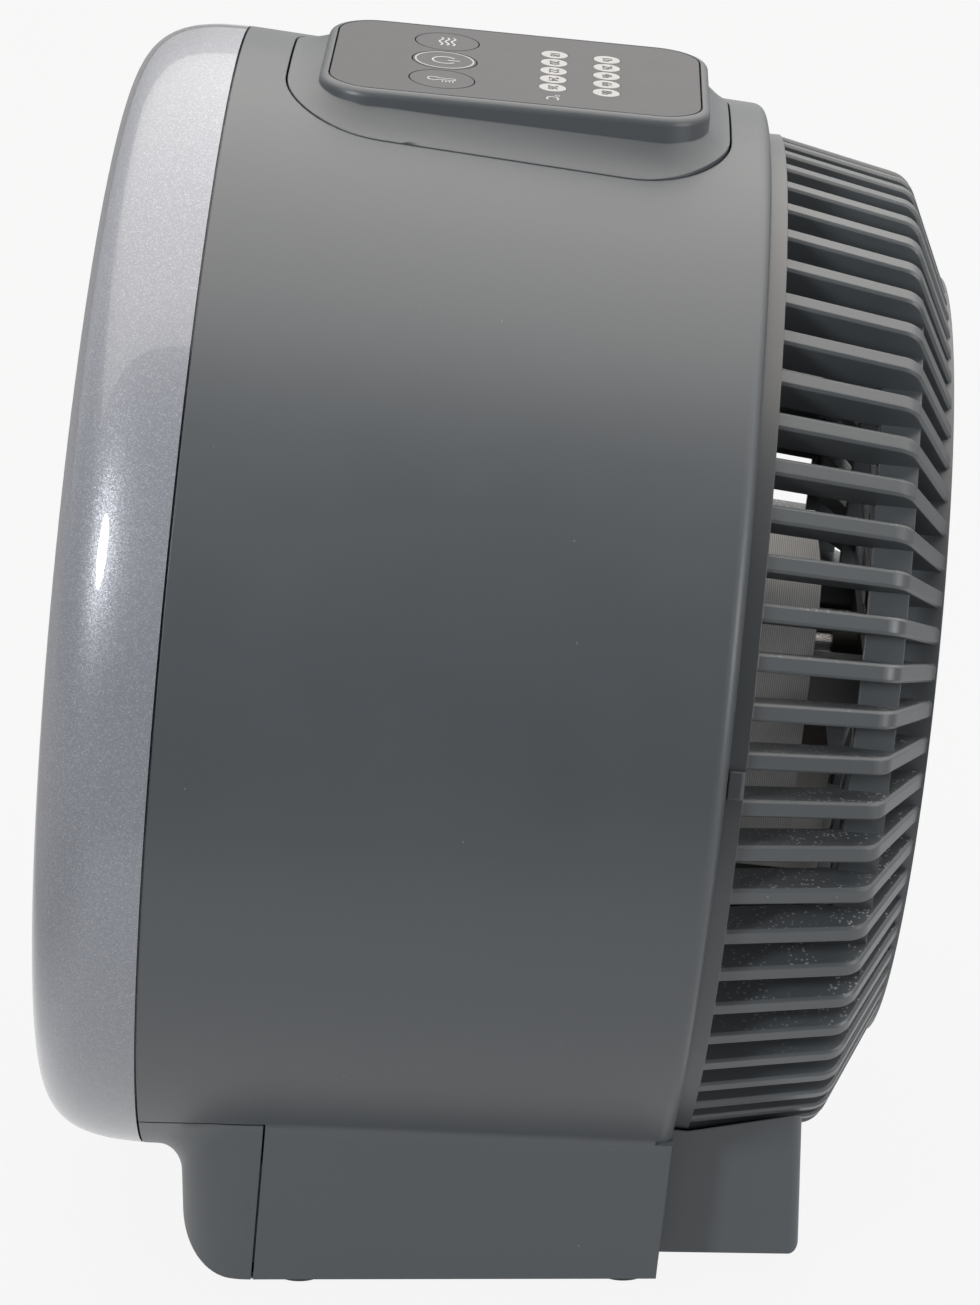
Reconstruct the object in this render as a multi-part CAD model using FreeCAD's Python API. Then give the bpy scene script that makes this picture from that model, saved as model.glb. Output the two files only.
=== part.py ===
# Drum fan heater on a short stand, in millimetres: +Z up, front towards -Y, control panel on top.
# The origin is on the table, under the middle of the heater.
# Pieces along the drum are drawn level, with the drum axis on Y, the front seam at y = 0 and
# the axis at z = 0, and are then leaned back and lifted together.
import FreeCAD, Part
import math
import os

from FreeCAD import Placement, Rotation, Vector

# Drum
drum_tilt = 5.3
table_gap = 6.6
drum_front_radius = 134.0
drum_taper = 6.6
drum_length = 123.0
drum_edge_depth = 4.0
drum_edge_width = 4.5
wall = 2.5
seam_gap = 0.5
fit_gap = 0.3

# Front ring
ring_straight = 2.2
ring_round_depth = 23.3
ring_round_width = 22.0
ring_fullness = 0.74
ring_lip_width = 4.0
ring_lip_round = 1.5
outlet_wall_depth = 12.0
spigot_length = 5.0
spigot_wall = 2.0

# Front grille
outlet_rim_width = 3.6
outlet_rim_recess = 3.0
outlet_flange_width = 2.9
outlet_flange_thickness = 2.5
slat_pitch = 9.5
slat_thickness = 2.2
slat_depth = 8.0
stiffener_spacing = 52.0
stiffener_depth = 4.0

# Rear cage
rib_count = 70
rib_thickness = 4.0
rib_depth = 9.0
rib_turn = 2.06
rib_edge = 0.6
cage_inset = 6.7
cage_flange_depth = 4.0
cage_flange_width = 9.2
cage_lip_width = 2.0
cage_straight = 30.5
cage_fall = 6.6
cage_chamfer = 11.15
cage_slope = 23.2
cage_bend_round = 6.0
hoop_width = 8.8
hoop_overhang = 1.8
hoop_thickness = 2.5
hoop_sink = 1.0
rim_band_depth = 9.0
rim_band_width = 4.5
rear_rib_thickness = 3.0
rear_rib_depth = 6.0
rear_ring_radius = 62.0
rear_ring_width = 3.0
rear_hub_radius = 38.0
rear_hub_wall = 2.5

# Stand
stand_front_width = 187.0
stand_rear_width = 180.6
stand_toe = 0.6
stand_corner = 16.0
stand_toe_round = 12.0
stand_crease_round = 7.0
foot_drop = 3.8
front_piece_top = 45.5
front_piece_depth = 29.4
rear_foot_width = 156.0
rear_foot_length = 21.4
rear_foot_round = 2.5
base_thickness = 2.5
tongue_wall = 1.5
tongue_length = 4.0
bottom_lap = 2.0
ledge_width = 2.5
ledge_height = 2.0
rubber_radius = 8.0
rubber_inset = 4.5
rubber_front = 27.0
rubber_rear_inset = 20.0
rubber_peg_radius = 2.4
rubber_peg_gap = 0.1
rubber_peg_length = 3.5
rubber_edge = 1.0

# Control pod and panel
panel_rise = 7.9
panel_width = 57.0
panel_front = 21.5
panel_rear_inset = 17.5
panel_corner = 10.0
panel_thickness = 2.0
panel_gap = 0.4
pod_rim = 1.9
pod_rim_round = 1.8
pod_width = 77.0
pod_front = 12.0
pod_rear_inset = 10.0
pod_corner = 23.0
pod_depth = 10.0
pod_top_wall = 2.5
pod_side_wall = 4.5
skirt_rise = 0.45
skirt_steps = 5
key_radius = 7.3
key_gap = 0.3
key_pitch = 16.0
key_line = 46.7
key_travel = 0.8
key_cap = 1.1
key_stop = 0.1
key_stem_radius = 3.0
key_stem_gap = 0.4
light_radius = 3.1
light_gap = 0.1
light_pitch = 7.0
light_count = 5
heat_light_line = 71.8
timer_light_line = 84.0
light_hole_radius = 2.4
board_width = 46.0
board_margin = 6.0
board_thickness = 1.6
board_drop = 3.4
post_radius = 2.5
post_inset = 5.0
switch_size = 6.0
led_length = 2.0
led_width = 1.2
led_height = 0.8

# Fan and motor
impeller_radius = 97.5
impeller_tip_gap = 3.0
impeller_sink = 8.0
impeller_depth = 23.0
impeller_hub_radius = 24.0
impeller_hub_wall = 2.5
blade_count = 5
blade_thickness = 2.0
blade_root_pitch = 44.0
blade_tip_pitch = 24.0
shroud_setback = 51.0
shroud_depth = 36.5
shroud_wall = 2.5
shroud_floor_inset = 29.0
spider_thickness = 3.0
spider_arm_width = 9.0
spider_plate_radius = 40.0
spider_bore = 9.0
shaft_radius = 3.0
shaft_gap = 0.05
bearing_radius = 7.0
bearing_length = 6.0
bracket_thickness = 1.5
bracket_width = 16.0
bracket_leg = 4.0
bracket_standoff = 12.0
stator_depth = 24.0
stator_width = 54.0
stator_top = 27.0
stator_limb_top = 32.0
stator_limb_height = 12.0
stator_window_width = 32.0
stator_window_height = 13.0
rotor_radius = 15.0
rotor_gap = 0.6
bobbin_wall = 1.2
bobbin_gap = 0.3
coil_thickness = 7.0
bolt_radius = 2.0
bolt_gap = 0.15
bolt_spacing = 38.0
bolt_head = 1.6
nut_radius = 5.5
nut_length = 6.0

# Heater
baffle_place = 14.0
baffle_thickness = 1.2
baffle_floor_inset = 30.0
heater_width = 108.0
fin_rows = 4
fin_height = 20.0
fin_teeth = 18
fin_sheet = 0.8
fin_depth = 24.0
bar_height = 4.6
bar_overhang = 2.3
stack_gap = 0.2
holder_width = 11.5
holder_wall = 2.0
cutout_radius = 8.0
cutout_height = 7.0
fuse_radius = 2.4
fuse_length = 14.0

# Electrics in the stand
power_board_width = 90.0
power_board_length = 40.0
power_board_front = 23.0
standoff_height = 6.0
standoff_radius = 3.0
standoff_inset = 5.0
relay_length = 19.0
relay_width = 15.0
relay_height = 15.0
relay_spacing = 24.0
tilt_size = 12.0
terminal_length = 24.0
terminal_width = 14.0
terminal_height = 12.0
gland_radius = 6.0
gland_flange_radius = 8.5
gland_flange = 2.5
gland_bore = 3.6
gland_height = 11.0
inlet_place = 62.0
cable_window_width = 16.0
cable_window_height = 10.0

# Sizes that follow from those above
lean = math.radians(drum_tilt)
axis_height = drum_front_radius + table_gap
drum_rear_radius = drum_front_radius - drum_taper
ring_depth = ring_straight + ring_round_depth
outlet_radius = drum_front_radius - ring_round_width - ring_lip_width
cage_root = drum_length + cage_flange_depth
cage_root_radius = drum_rear_radius - cage_inset
cage_bend_radius = cage_root_radius - cage_fall
cage_rim_radius = cage_bend_radius - cage_slope
cage_bend = cage_root + cage_straight
rear_foot_reach = drum_length + rear_foot_length
cage_rear = cage_bend + cage_chamfer
cage_opening = cage_root_radius + 2 * fit_gap
rubber_rear = drum_length - rubber_rear_inset
panel_length = drum_length - panel_front - panel_rear_inset
pod_length = drum_length - pod_front - pod_rear_inset
board_length = panel_length - 2 * board_margin
pod_top = drum_rear_radius + panel_rise
pod_bottom = drum_rear_radius - pod_depth
shroud_front = drum_length - shroud_setback
impeller_front = shroud_front + impeller_sink
shroud_radius = impeller_radius + impeller_tip_gap
shroud_floor = drum_front_radius - shroud_floor_inset
baffle_floor = drum_front_radius - baffle_floor_inset
spider_face = shroud_front + shroud_depth
bracket_back = spider_face + bracket_thickness
stator_front = bracket_back + bracket_standoff
stator_rear = stator_front + stator_depth
motor_rear = stator_rear + bracket_standoff
front_reach = ring_depth * math.cos(lean) + (outlet_radius + ring_lip_width) * math.sin(lean)
rear_reach = cage_rear * math.cos(lean) + cage_rim_radius * math.sin(lean)
seam_place = (front_reach - rear_reach) / 2
seat = Placement(Vector(0, seam_place, axis_height), Rotation(Vector(1, 0, 0), -drum_tilt))
far = 400.0


# Drawing helpers

def leaned(shape):
    # A piece drawn level along the drum, leaned back and lifted to its place
    moved = shape.copy()
    moved.Placement = seat.multiply(moved.Placement)
    return moved


def wire(points):
    # A closed straight-sided outline
    return Part.makePolygon(points + points[:1])


def turned(edges, angle=360.0):
    # A ring or disc: edges of a closed outline in the x = 0 plane, turned about the drum axis
    face = Part.Face(Part.Wire(edges))
    return face.revolve(Vector(0, 0, 0), Vector(0, 1, 0), angle)


def lathe(points):
    # A ring or disc from straight (depth, radius) corners
    corners = [Vector(0, depth, radius) for depth, radius in points]
    return turned(wire(corners).Edges)


def band(inner, outer, front, rear):
    # A plain ring between two radii and two depths
    return lathe([(front, inner), (rear, inner), (rear, outer), (front, outer)])


def rod(radius, front, rear, x=0.0, z=0.0):
    # A round bar along the drum axis
    return Part.makeCylinder(radius, rear - front, Vector(x, front, z), Vector(0, 1, 0))


def post(radius, low, high, x, y):
    # A round upright bar
    return Part.makeCylinder(radius, high - low, Vector(x, y, low))


def block(x, y, z):
    # A box from three (low, high) pairs
    size = [high - low for low, high in (x, y, z)]
    return Part.makeBox(*size, Vector(x[0], y[0], z[0]))


def middle(width, centre=0.0):
    # A (low, high) pair about a centre
    return (centre - width / 2, centre + width / 2)


def bezier(points):
    # A smooth edge through four handles given as (depth, radius)
    curve = Part.BezierCurve()
    curve.setPoles([Vector(0, depth, radius) for depth, radius in points])
    return curve.toShape()


def line(start, end):
    # A straight edge between two (depth, radius) corners
    return Part.LineSegment(Vector(0, *start), Vector(0, *end)).toShape()


def rounded_corners(width, length, corner, centre):
    # Centres and start angles of the four corner arcs of a rounded rectangle, going round it
    x = width / 2 - corner
    y = length / 2 - corner
    places = [(x, y), (-x, y), (-x, -y), (x, -y)]
    return [(px, centre + py, 90.0 * turn) for turn, (px, py) in enumerate(places)]


def rounded_plate(width, length, corner, centre, low, high):
    # A flat plate with rounded corners, between two heights
    edges = []
    ends = []
    for x, y, start in rounded_corners(width, length, corner, centre):
        arc_points = []
        for turn in (0.0, 45.0, 90.0):
            angle = math.radians(start + turn)
            arc_points.append(Vector(x + corner * math.cos(angle), y + corner * math.sin(angle), low))
        edges.append(Part.Arc(*arc_points).toShape())
        ends.append((arc_points[0], arc_points[2]))
    for this, following in zip(ends, ends[1:] + ends[:1]):
        edges.append(Part.LineSegment(this[1], following[0]).toShape())
    face = Part.Face(Part.Wire(Part.__sortEdges__(edges)))
    return face.extrude(Vector(0, 0, high - low))


def cut_all(shape, tools):
    return shape.cut(Part.Compound(tools))


def drum_radius(depth):
    # Outside radius of the tapered drum
    return drum_front_radius + (drum_rear_radius - drum_front_radius) * depth / drum_length


def at_height(depth, height):
    # World y of the plane across the drum at a depth, at a height above the table
    return seam_place + depth / math.cos(lean) + (height - axis_height) * math.tan(lean)


# Drum, stand and its pieces

def drum_cone(inset, front, rear):
    return lathe([
        (front, 0), (front, drum_radius(front) - inset), (rear, drum_radius(rear) - inset), (rear, 0),
    ])


def stand_half_width(y):
    # Half width of the stand at a world y: it narrows towards the rear
    start = at_height(front_piece_depth, foot_drop)
    end = at_height(drum_length, foot_drop)
    share = (y - start) / (end - start)
    return (stand_front_width + (stand_rear_width - stand_front_width) * share) / 2


def stand_block(inset, low, high):
    # The stand as an upright block with rounded front corners, reaching back past the drum
    front = seam_place - stand_toe + inset
    rear = at_height(drum_length, high) + wall
    corner = stand_corner - inset
    turn = front + corner
    side = stand_half_width(turn) - inset
    back = stand_half_width(rear) - inset
    bulge = corner * (1 - math.cos(math.radians(45)))
    left = [
        Vector(-side, turn, low), Vector(-side + bulge, front + bulge, low), Vector(-side + corner, front, low),
    ]
    right = [Vector(-p.x, p.y, low) for p in reversed(left)]
    rear_left = Vector(-back, rear, low)
    rear_right = Vector(back, rear, low)
    edges = [
        Part.Arc(*left).toShape(),
        Part.LineSegment(left[2], right[0]).toShape(),
        Part.Arc(*right).toShape(),
        Part.LineSegment(right[2], rear_right).toShape(),
        Part.LineSegment(rear_right, rear_left).toShape(),
        Part.LineSegment(rear_left, left[0]).toShape(),
    ]
    return Part.Face(Part.Wire(edges)).extrude(Vector(0, 0, high - low))


def toe_waste(inset):
    # What the round along the front of the stand's bottom edge takes off
    radius = stand_toe_round - inset
    front = seam_place - stand_toe + inset
    low = foot_drop + inset
    corner = block(middle(far), (front - wall, front + radius), (low - wall, low + radius))
    round_bar = Part.makeCylinder(
        radius, far, Vector(-far / 2, front + radius, low + radius), Vector(1, 0, 0)
    )
    return corner.cut(round_bar)


def body_outside():
    # Drum and stand in one, with a soft crease where the stand's walls leave the drum
    cone = leaned(drum_cone(0.0, seam_gap / 2, drum_length + wall))
    stand = stand_block(0.0, -axis_height, axis_height / 2)
    whole = cone.fuse(stand).cut(leaned(behind(drum_length))).removeSplitter()
    crease = [edge for edge in whole.Edges if is_crease(edge)]
    soft = whole.makeFillet(stand_crease_round, crease)
    below = block(middle(far), middle(2 * far), (foot_drop - far, foot_drop))
    return soft.cut(toe_waste(0.0).cut(cone)).cut(below)


def is_crease(edge):
    # An edge where the stand meets the drum: above the table, below mid height and ahead of the rear end
    box = edge.BoundBox
    ahead_of_end = box.YMin < at_height(drum_length, foot_drop) - stand_corner
    return box.ZMin > 0 and box.ZMax < axis_height / 2 - wall and ahead_of_end


def behind(depth):
    # Everything behind a plane across the drum
    return block(middle(far), (depth, depth + far), middle(2 * far))


def ahead(depth):
    # Everything ahead of a plane across the drum
    return block(middle(far), (depth - far, depth), middle(2 * far))


def drum_edge_waste():
    # What the soft rear edge of the drum takes off, above the stand
    front = drum_length - drum_edge_depth
    outer = drum_radius(front)
    rear_radius = drum_radius(drum_length) - drum_edge_width
    curve = bezier([
        (front, outer),
        (front + ring_fullness * drum_edge_depth, outer),
        (drum_length, rear_radius + ring_fullness * drum_edge_width),
        (drum_length, rear_radius),
    ])
    beyond = outer + 2 * drum_edge_width
    edges = [
        curve,
        line((drum_length, rear_radius), (drum_length + wall, rear_radius)),
        line((drum_length + wall, rear_radius), (drum_length + wall, beyond)),
        line((drum_length + wall, beyond), (front, beyond)),
        line((front, beyond), (front, outer)),
    ]
    side = stand_half_width(at_height(drum_length, foot_drop)) / outer
    below = math.degrees(math.acos(side))
    tool = turned(edges, 180.0 + 2 * below)
    return leaned(tool.rotate(Vector(0, 0, 0), Vector(0, 1, 0), -90.0 - below))


def body_inside():
    # The room inside drum and stand
    rear = drum_length - wall
    slope = rear - drum_edge_depth + wall / 2
    hollow = lathe([
        (-wall, 0), (-wall, drum_radius(-wall) - wall), (slope, drum_radius(slope) - wall),
        (rear, drum_radius(rear) - wall - drum_edge_width / 2), (rear, 0),
    ])
    cellar = stand_block(wall, foot_drop + wall, axis_height / 2)
    cellar = cellar.cut(toe_waste(wall)).cut(leaned(behind(rear)))
    return leaned(hollow).fuse(cellar)


def front_piece_zone(gap):
    # The part of the body that is the separate front piece of the stand
    zone = leaned(ahead(front_piece_depth - gap))
    return zone.common(block(middle(far), middle(2 * far), (-far, front_piece_top - gap)))


def housing():
    shell = body_outside().cut(body_inside())
    bottom_step = stand_block(wall, -foot_drop, foot_drop + wall).cut(leaned(ahead(bottom_seam() - seam_gap)))
    front = shell.common(front_piece_zone(seam_gap)).cut(bottom_step).multiFuse(tongue())
    drum = shell.cut(front_piece_zone(0.0))
    opening = leaned(rod(cage_opening, drum_length - 2 * wall, drum_length + wall))
    under = stand_block(wall, -foot_drop, foot_drop + 2 * wall).cut(leaned(behind(drum_length - wall)))
    pod_hole = rounded_plate(
        pod_width + 2 * seam_gap, pod_length + 2 * seam_gap, pod_corner + seam_gap,
        pod_front + pod_length / 2, pod_bottom, pod_top + wall,
    )
    window_low = foot_drop + 2 * wall
    window_rear = at_height(drum_length, window_low)
    cable_window = block(
        middle(cable_window_width, -inlet_place), (window_rear - 3 * wall, window_rear + 3 * wall),
        (window_low, window_low + cable_window_height),
    )
    drum = cut_all(drum.cut(drum_edge_waste()), [opening, under, leaned(pod_hole), cable_window])
    return drum.fuse(ledges()), front


def bottom_seam():
    # Where the bottom plate starts: ahead of the seam in the walls, so that nothing shows through
    return front_piece_depth - bottom_lap


def tongue():
    # A lip on the front piece that laps the seam from inside, along the stand's walls and bottom
    high = front_piece_top - stand_crease_round - 2 * wall
    seam = front_piece_depth - seam_gap
    lips = []
    turn = bottom_seam() - seam_gap
    for grow, start, end in ((-fit_gap, seam - tongue_length, turn), (fit_gap, turn, seam + tongue_length)):
        low = foot_drop + wall + grow
        lip = stand_block(wall + grow, low, high)
        lip = lip.cut(stand_block(wall + fit_gap + tongue_wall, foot_drop + wall + fit_gap + tongue_wall, far))
        lips.append(lip.cut(leaned(ahead(start))).cut(leaned(behind(end))))
    return lips


def ledges():
    # Two strips on the stand's walls that the bottom plate seats against
    low = foot_drop + base_thickness
    strip = stand_block(wall, low, low + ledge_height)
    strip = strip.cut(stand_block(wall + ledge_width, low, low + ledge_height))
    front = at_height(front_piece_depth, low) + stand_corner
    rear = at_height(drum_length, low) - stand_corner
    return strip.common(block(middle(far), (front, rear), (low, low + ledge_height)))


def base_plate():
    low = foot_drop
    plate = stand_block(wall + fit_gap, low, low + base_thickness)
    plate = plate.cut(leaned(ahead(bottom_seam())))
    plate = plate.cut(leaned(behind(drum_length - wall - fit_gap)))
    pegs = [
        post(rubber_peg_radius + rubber_peg_gap, low - wall, low + 2 * base_thickness, x, y)
        for x, y in rubber_places()
    ]
    plate = cut_all(plate, pegs)
    standoffs = [
        post(standoff_radius, low + base_thickness, low + base_thickness + standoff_height, x, y)
        for x, y in standoff_places()
    ]
    return plate.multiFuse(standoffs)


def rubber_places():
    places = []
    for along in (rubber_front, rubber_rear):
        y = seam_place + along
        x = stand_half_width(y) - rubber_inset - rubber_radius
        places += [(-x, y), (x, y)]
    return places


def rubber_feet():
    feet = []
    for x, y in rubber_places():
        pad = post(rubber_radius, 0.0, foot_drop, x, y)
        pad = pad.makeChamfer(rubber_edge, [edge for edge in pad.Edges if edge.BoundBox.ZMax < rubber_edge])
        peg = post(rubber_peg_radius, foot_drop, foot_drop + rubber_peg_length, x, y)
        feet.append(pad.fuse(peg))
    return Part.Compound(feet)


def rear_foot():
    # A box under the cage, hollowed to fit round the ribs
    low = foot_drop
    rear = seam_place + rear_foot_reach
    front = at_height(drum_length, low) - wall
    box = block(middle(rear_foot_width), (front, rear), (low, axis_height))
    back_edges = [
        edge for edge in box.Edges if edge.BoundBox.YMin > rear - wall and on_bottom_or_side(edge, low)
    ]
    box = box.makeFillet(rear_foot_round, back_edges)
    inner = block(
        middle(rear_foot_width - 2 * wall), (front - wall, rear - wall), (low + wall, axis_height + wall)
    )
    shell = box.cut(inner)
    cage = cage_outline(2 * fit_gap)
    start = Vector(-inlet_place, rear - 2 * wall, low + gland_height)
    gland = Part.makeCylinder(gland_radius + fit_gap, 4 * wall, start, Vector(0, 1, 0))
    return shell.cut(leaned(cage)).cut(leaned(ahead(drum_length))).cut(gland)


def on_bottom_or_side(edge, low):
    box = edge.BoundBox
    return box.ZMax < low + wall or box.ZLength > wall


def cage_outline(grow):
    # The room that the cage takes up, grown all round
    return lathe([
        (drum_length - wall, 0), (drum_length - wall, cage_root_radius + grow),
        (cage_root, cage_root_radius + grow), (cage_bend + grow, cage_bend_radius + grow),
        (cage_rear + grow, cage_rim_radius + grow), (cage_rear + grow, 0),
    ])


# Front ring and outlet grille

def front_ring():
    front = -ring_depth
    lip = outlet_radius + ring_lip_width
    back = drum_front_radius
    inside = drum_radius(spigot_length) - wall - fit_gap - spigot_wall
    rear = -seam_gap / 2
    wall_end = front + outlet_wall_depth
    bend = -ring_straight - wall
    outer_curve = bezier([
        (-ring_straight, back), (-ring_straight - ring_fullness * ring_round_depth, back),
        (front, lip + ring_fullness * ring_round_width), (front, lip),
    ])
    depth_inside = bend - front - wall
    height_inside = inside - lip
    inner_curve = bezier([
        (front + wall, lip), (front + wall, lip + ring_fullness * height_inside),
        (bend - ring_fullness * depth_inside, inside), (bend, inside),
    ])
    start = (front, outlet_radius + ring_lip_round)
    end = (front + ring_lip_round, outlet_radius)
    slack = ring_lip_round * (1 - ring_fullness)
    lip_curve = bezier([start, (front, outlet_radius + slack), (front + slack, outlet_radius), end])
    spigot = inside + spigot_wall
    corners = [
        end, (wall_end, outlet_radius), (wall_end, outlet_radius + wall), (front + wall, outlet_radius + wall),
        (front + wall, lip),
    ]
    tail = [(bend, inside), (spigot_length, inside), (spigot_length, spigot), (rear, spigot), (rear, back)]
    edges = [outer_curve, line((front, lip), start), lip_curve]
    edges += [line(a, b) for a, b in zip(corners, corners[1:])]
    edges.append(inner_curve)
    edges += [line(a, b) for a, b in zip(tail, tail[1:])]
    edges.append(line((rear, back), (-ring_straight, back)))
    return leaned(turned(edges))


def front_grille():
    rim = outlet_radius - fit_gap
    inner = rim - outlet_rim_width
    front = -ring_depth + outlet_rim_recess
    flange_front = -ring_depth + outlet_wall_depth + fit_gap
    rear = flange_front + outlet_flange_thickness
    frame = lathe([
        (front, inner), (front, rim), (flange_front, rim), (flange_front, rim + outlet_flange_width),
        (rear, rim + outlet_flange_width), (rear, inner),
    ])
    reach = inner + outlet_rim_width / 2
    slat_front = front + outlet_rim_width / 2
    bars = []
    for step in range(-int(reach / slat_pitch), int(reach / slat_pitch) + 1):
        height = step * slat_pitch
        half = math.sqrt(reach ** 2 - (abs(height) + slat_thickness / 2) ** 2)
        slat = block(middle(2 * half), (slat_front, slat_front + slat_depth), middle(slat_thickness, height))
        bars.append(slat)
    for side in (-1, 0, 1):
        x = side * stiffener_spacing
        half = math.sqrt(reach ** 2 - (abs(x) + slat_thickness / 2) ** 2)
        back = slat_front + slat_depth
        bars.append(block(middle(slat_thickness, x), (back - stiffener_depth, back), middle(2 * half)))
    return leaned(frame.multiFuse(bars))


# Rear cage

def rib(points, thickness):
    # A flat rib through the drum axis, standing up from it
    outline = [Vector(-thickness / 2, depth, radius) for depth, radius in points]
    return Part.Face(wire(outline)).extrude(Vector(thickness, 0, 0))


def soft_rib(shape):
    # Rounds a side rib's bend and breaks its outer edges
    bent = shape.makeFillet(cage_bend_round, [edge for edge in shape.Edges if is_bend(edge)])
    return bent.makeChamfer(rib_edge, [edge for edge in bent.Edges if is_outer(edge)])


def is_bend(edge):
    bend = Vector(0, cage_bend, cage_bend_radius)
    return all(Vector(0, end.Y, end.Z).isEqual(bend, fit_gap) for end in edge.Vertexes)


def is_outer(edge):
    # Along the outside of a side rib, clear of its inner edges
    box = edge.BoundBox
    if box.XLength > fit_gap or box.YLength < fit_gap:
        return False
    if box.Center.y > cage_bend:
        return box.Center.z > cage_rim_radius
    return box.Center.z > cage_bend_radius - rib_depth / 2


def inner_bend():
    # Where the inner edges of a rib's straight and sloping parts meet
    fall = math.atan2(cage_root_radius - cage_bend_radius, cage_straight)
    steep = math.atan2(cage_bend_radius - cage_rim_radius, cage_chamfer)
    half = (steep - fall) / 2
    reach = rib_depth / math.cos(half)
    slope = fall + half
    return (cage_bend - reach * math.sin(slope), cage_bend_radius - reach * math.cos(slope))


def around(shape, count, start=0.0):
    # Copies of a rib at even steps about the drum axis
    copies = []
    for step in range(count):
        copy = shape.copy()
        copy.rotate(Vector(0, 0, 0), Vector(0, 1, 0), start + 360.0 * step / count)
        copies.append(copy)
    return copies


def rear_grille():
    root_front = drum_length + fit_gap
    lip_rear = drum_length - wall - fit_gap
    lip_front = lip_rear - wall
    lip_radius = cage_root_radius + cage_lip_width
    inner = cage_root_radius - cage_flange_width
    flange = lathe([
        (lip_front, inner), (lip_front, lip_radius), (lip_rear, lip_radius), (lip_rear, cage_root_radius),
        (cage_root, cage_root_radius), (cage_root, inner),
    ])
    bend_depth, bend_radius = inner_bend()
    rim_inner = cage_rim_radius - rim_band_width
    rim_front = cage_rear - rim_band_depth
    side_rib = soft_rib(rib([
        (root_front, cage_root_radius - 2 * fit_gap), (cage_root, cage_root_radius - fit_gap),
        (cage_bend, cage_bend_radius), (cage_rear - fit_gap, cage_rim_radius - 2 * fit_gap),
        (cage_rear - fit_gap, rim_inner + fit_gap), (rim_front + fit_gap, rim_inner + fit_gap),
        (bend_depth, bend_radius), (root_front, inner + fit_gap),
    ], rib_thickness))
    rear_front = cage_rear - rear_rib_depth
    hub_inner = rear_hub_radius - rear_hub_wall
    rear_start = rear_hub_radius - rear_hub_wall / 2
    rear_end = cage_rim_radius - rim_band_width / 2
    rear_rib = rib([
        (cage_rear - fit_gap, rear_start), (cage_rear - fit_gap, rear_end),
        (rear_front, rear_end), (rear_front, rear_start),
    ], rear_rib_thickness)
    hoop_outer = bend_radius + hoop_sink
    hoop_rear = cage_bend + hoop_overhang
    hoop = band(hoop_outer - hoop_thickness, hoop_outer, hoop_rear - hoop_width, hoop_rear)
    rim = band(rim_inner, cage_rim_radius, rim_front, cage_rear)
    ring = band(*middle(rear_ring_width, rear_ring_radius), rear_front + fit_gap, cage_rear - 2 * fit_gap)
    hub = lathe([
        (cage_rear, 0), (cage_rear, rear_hub_radius), (rear_front - fit_gap, rear_hub_radius),
        (rear_front - fit_gap, hub_inner), (cage_rear - rear_hub_wall, hub_inner), (cage_rear - rear_hub_wall, 0),
    ])
    ribs = around(side_rib, rib_count, -rib_turn) + around(rear_rib, rib_count // 2, -rib_turn)
    return leaned(flange.multiFuse([hoop, rim, ring, hub] + ribs))


# Control pod, panel and keys

def skirt_outline(grow):
    # A closed smooth line round the pod's rim, grown outwards, lying on the skirt
    flare = (pod_width - panel_width) / 2 - pod_rim - panel_gap
    share = grow / flare
    width = panel_width + 2 * (panel_gap + pod_rim + grow)
    length = panel_length + 2 * (panel_gap + pod_rim + grow)
    corner = panel_corner + panel_gap + pod_rim + grow
    points = []
    corners = rounded_corners(width, length, corner, panel_front + panel_length / 2)
    for index, (x, y, start) in enumerate(corners):
        for turn in range(skirt_steps + 1):
            angle = math.radians(start + 90.0 * turn / skirt_steps)
            points.append((x + corner * math.cos(angle), y + corner * math.sin(angle)))
        next_x, next_y, next_start = corners[(index + 1) % len(corners)]
        angle = math.radians(next_start)
        end_x, end_y = next_x + corner * math.cos(angle), next_y + corner * math.sin(angle)
        last_x, last_y = points[-1]
        for step in range(1, skirt_steps):
            part = step / skirt_steps
            points.append((last_x + (end_x - last_x) * part, last_y + (end_y - last_y) * part))
    lifted = []
    for x, y in points:
        skin = math.sqrt(drum_radius(y) ** 2 - x ** 2)
        rise = (pod_top - skin) * skirt_rise * max(0.0, 1 - share) ** 2
        lifted.append(Vector(x, y, skin + rise))
    curve = Part.BSplineCurve()
    curve.interpolate(Points=lifted, PeriodicFlag=True)
    return Part.Wire(curve.toShape())


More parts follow.
